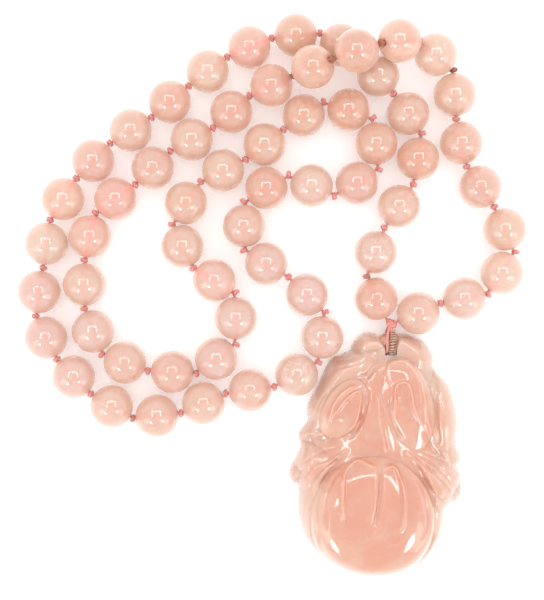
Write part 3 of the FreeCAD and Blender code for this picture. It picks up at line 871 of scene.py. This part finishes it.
# The carving's height at every place, in millimetres: a plate and the raised forms, each a foot plus a
# rise times (1 - r^p) to the power of the ease at r of its half size, run together by the logarithm of
# their summed exponentials; then every stroke as a bell across its line, fading towards its ends; then
# the edge, rounded down to the rim.
def carvedHeight(x, y, edge):
    levels = [np.full(x.shape, carving["plate"])]
    for centre, half, turn, foot, rise, power in raisedForms.values():
        c, s = math.cos(math.radians(turn)), math.sin(math.radians(turn))
        u = ((x - centre[0]) * c + (y - centre[1]) * s) / half[0]
        v = ((y - centre[1]) * c - (x - centre[0]) * s) / half[1]
        r = np.clip(np.hypot(u, v), 0, 1)
        levels.append(np.where(r < 1, foot + rise * (1 - r ** power) ** carving["ease"], 0))
    blend = carving["blend"]
    height = blend * np.log(sum(np.exp(level / blend) for level in levels))
    cuts = np.zeros(x.shape)
    for lift, width, *points in strokes:
        away, share = distanceTo(smoothThrough(points, carving["strokeSteps"]), x, y)
        fade = np.clip(np.minimum(share, 1 - share) * carving["strokeFade"] + 0.15, 0, 1)
        strength = carving["ridgeHeight"] if lift > 0 else carving["grooveDepth"]
        cuts += lift * strength * fade * np.exp(-(away / width) ** 2)
    nearBar = np.exp(-(x ** 2 + (y - carving["pivot"][0]) ** 2) / carving["barReach"] ** 2)
    width = carving["edgeWidth"] + (carving["barEdge"] - carving["edgeWidth"]) * nearBar
    inward = np.clip(edge / width, 0, 1)
    roll = np.sqrt(1 - (1 - inward) ** 2)
    shaped = carving["rim"] + (height + cuts - carving["rim"]) * roll
    return np.clip(shaped, carving["rim"], carving["tallest"]), height


# A plain closed solid for cutting with or adding: a profile in Y and Z carried along X, and made larger
# round its middle by 1 plus the flare times the cube of the share of the way to each end.
def barAlongX(name, profile, left, right, flare=0.0, middle=(0.0, 0.0)):
    x = np.linspace(left, right, carving["barRows"])
    grow = 1 + flare * np.abs(2 * (x - left) / (right - left) - 1) ** 3
    yz = middle + (np.array(profile) - middle) * grow[:, None, None]
    points = np.concatenate([np.broadcast_to(x[:, None, None], yz.shape[:2] + (1,)), yz], axis=-1)
    return gridObject(name, [{"points": points, "closed": False, "along": np.arange(len(x) + 1.0)}], jade)


def applyBoolean(target, other, operation):
    cut = target.modifiers.new(operation, "BOOLEAN")
    cut.operation = operation
    cut.object = other
    cut.solver = "EXACT"
    graph = bpy.context.evaluated_depsgraph_get()
    result = bpy.data.meshes.new_from_object(target.evaluated_get(graph))
    target.modifiers.clear()
    target.data = result
    bpy.data.objects.remove(other)


# The amulet's skin is a function of the turn round the carving's middle and the share of the way out:
# the carved face from the middle to the rim, a short wall down to the table, and the flat back.
def makeAmulet():
    outline = smoothThrough(outlinePoints, carving["outlineSteps"], closed=True)
    outline = np.concatenate([outline, outline[:1]])
    rim = pointsAt(outline, np.linspace(0, 1, carving["around"], endpoint=False))[::-1]
    centre = np.array(carving["middle"])
    out = 1 - (1 - np.linspace(carving["innermost"], 1, carving["rings"])) ** carving["crowding"]
    face = centre + (rim - centre) * out[:, None, None]
    edge, _ = distanceTo(outline, face[..., 0], face[..., 1])
    height, form = carvedHeight(face[..., 0], face[..., 1], edge)
    wallSize, wallHeight = np.array(wallSteps).T[..., None, None]
    wall = centre + (rim - centre) * wallSize
    wallHeight = np.broadcast_to(wallHeight * carving["rim"], wall.shape[:2] + (1,))
    points = np.concatenate([np.concatenate([face, height[..., None]], axis=-1),
                             np.concatenate([wall, wallHeight], axis=-1)])
    points = points * mm + (*carving["hole"], 0)
    # painted light through the stone: deeper colour far in from the outline and where the forms are tall,
    # paler near the outline
    inward, tall = np.clip(edge / carving["paintedPaleBand"], 0, 1), np.clip(form / carving["tallest"], 0, 1)
    paintedDepthWeights = carving["paintedDepthWeights"][0] * inward + carving["paintedDepthWeights"][1] * tall
    deep = np.concatenate([paintedDepthWeights, np.broadcast_to(paintedDepthWeights[-1], wall.shape[:2])])
    amulet = gridObject("stone_peach_amulet", [
        {"points": points, "closed": False, "along": np.arange(len(points) + 1.0)}], jade,
        {"thicknessShade": deep.ravel()})
    holeX, holeY = carving["hole"]
    pivot = np.array([holeY + carving["pivot"][0] * mm, carving["pivot"][1] * mm])
    arch = arcRound(pivot, carving["slotRadius"] * mm, np.linspace(0, math.pi, carving["archSteps"]))
    feet = [(arch[-1][0], -mm), (arch[0][0], -mm)]
    sides = [holeX + side * mm for side in carving["slot"]]
    applyBoolean(amulet, barAlongX("slot", [*arch, *feet], *sides), "DIFFERENCE")
    turn = np.linspace(0, 2 * math.pi, carving["barSides"], endpoint=False)
    circle = arcRound(pivot, carving["barRadius"] * mm, turn)
    ends = [holeX + side * carving["barHalf"] * mm for side in (-1, 1)]
    applyBoolean(amulet, barAlongX("bar", circle, *ends, -carving["barTaper"], pivot), "UNION")
    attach(amulet, "amulet")
    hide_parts("amulet")


makeAmulet()
print("amulet carved")

studioSettings = {
    "floorSize": 3.0, "floorDrop": 0.00002, "floorColour": (0.9, 0.895, 0.9, 1),
    "floorRoughness": 0.25,
    "floorGlow": 0.3,  # the table's own light, which softens the shadows between the beads
    "world": (1.0, 0.995, 0.99, 1), "worldStrength": 1.22,
    "softbox": (0.8, 0.8),  # an overhead light that only lights, and isn't mirrored
    "softboxHeight": 1.0, "softboxPower": 0.45,
    "frameHeight": 0.6,  # an open frame of light that is only mirrored
    "legX": 0.255, "legY": (-0.03, 0.30), "barWidth": 0.05,
    "frameGlare": 6.0,  # its radiance
    "lamps": ((-0.32, -0.385, 0.49), (0.346, -0.307, 0.526)), "lampSize": 0.14, "lampGlare": 8.0,
    "windows": ((-0.62, -0.34, 0.45), (0.62, -0.36, 0.42)), "windowSize": (0.3, 0.5),
    "windowGlare": 1.3,
}


# A rectangular or round lamp of an even radiance, turned to its target. One for glare shows only in
# reflections; one that isn't shows in none. A flat lamp's power is pi times its radiance and its area.
def addArea(name, place, size, radiance, glare, target=(0, 0, 0)):
    data = bpy.data.lights.new(name, "AREA")
    data.shape = "RECTANGLE" if len(size) == 2 else "DISK"
    data.size = size[0]
    data.size_y = size[-1]
    area = size[0] * size[1] if len(size) == 2 else math.pi * size[0] ** 2 / 4
    data.energy = radiance * math.pi * area
    lamp = bpy.data.objects.new(name, data)
    lamp.location = place
    away = Vector(place) - Vector(target)
    lamp.rotation_euler = away.to_track_quat("Z", "Y").to_euler()
    lamp.visible_diffuse = not glare
    lamp.visible_glossy = glare
    lamp.visible_transmission = not glare
    bpy.context.collection.objects.link(lamp)


# A pale table in an even white surround, a soft light overhead, and a frame, lamps and windows to mirror.
def makeStudio(settings):
    material, tree, surface = newMaterial("paleTable")
    setInputs(tree, surface, {
        "Base Color": settings["floorColour"], "Roughness": settings["floorRoughness"],
        "Emission Color": settings["floorColour"], "Emission Strength": settings["floorGlow"],
    })
    mesh = bpy.data.meshes.new("table")
    half, low = settings["floorSize"] / 2, -settings["floorDrop"]
    mesh.from_pydata([(-half, -half, low), (half, -half, low), (half, half, low), (-half, half, low)],
                     [], [(0, 1, 2, 3)])
    mesh.materials.append(material)
    table = bpy.data.objects.new("table", mesh)
    bpy.context.collection.objects.link(table)
    world = bpy.data.worlds.new("surround")
    world.use_nodes = True
    setInputs(world.node_tree, world.node_tree.nodes["Background"], {
        "Color": settings["world"], "Strength": settings["worldStrength"]})
    bpy.context.scene.world = world
    overhead = (0, 0, settings["softboxHeight"])
    addArea("softbox", overhead, settings["softbox"], settings["softboxPower"], False)
    near, far = settings["legY"]
    width, top, x = settings["barWidth"], settings["frameHeight"], settings["legX"]
    for side in (-x, x):
        y = (near + far) / 2
        addArea("frameLeg", (side, y, top), (width, far - near), settings["frameGlare"], True, (side, y, 0))
    addArea("frameBar", (0, far, top), (2 * x + width, width), settings["frameGlare"], True, (0, far, 0))
    for place in settings["lamps"]:
        addArea("lamp", place, (settings["lampSize"],), settings["lampGlare"], True)
    for place in settings["windows"]:
        addArea("window", place, settings["windowSize"], settings["windowGlare"], True)


makeStudio(studioSettings)
bpy.context.scene.view_settings.view_transform = "Standard"
print("studio lit")
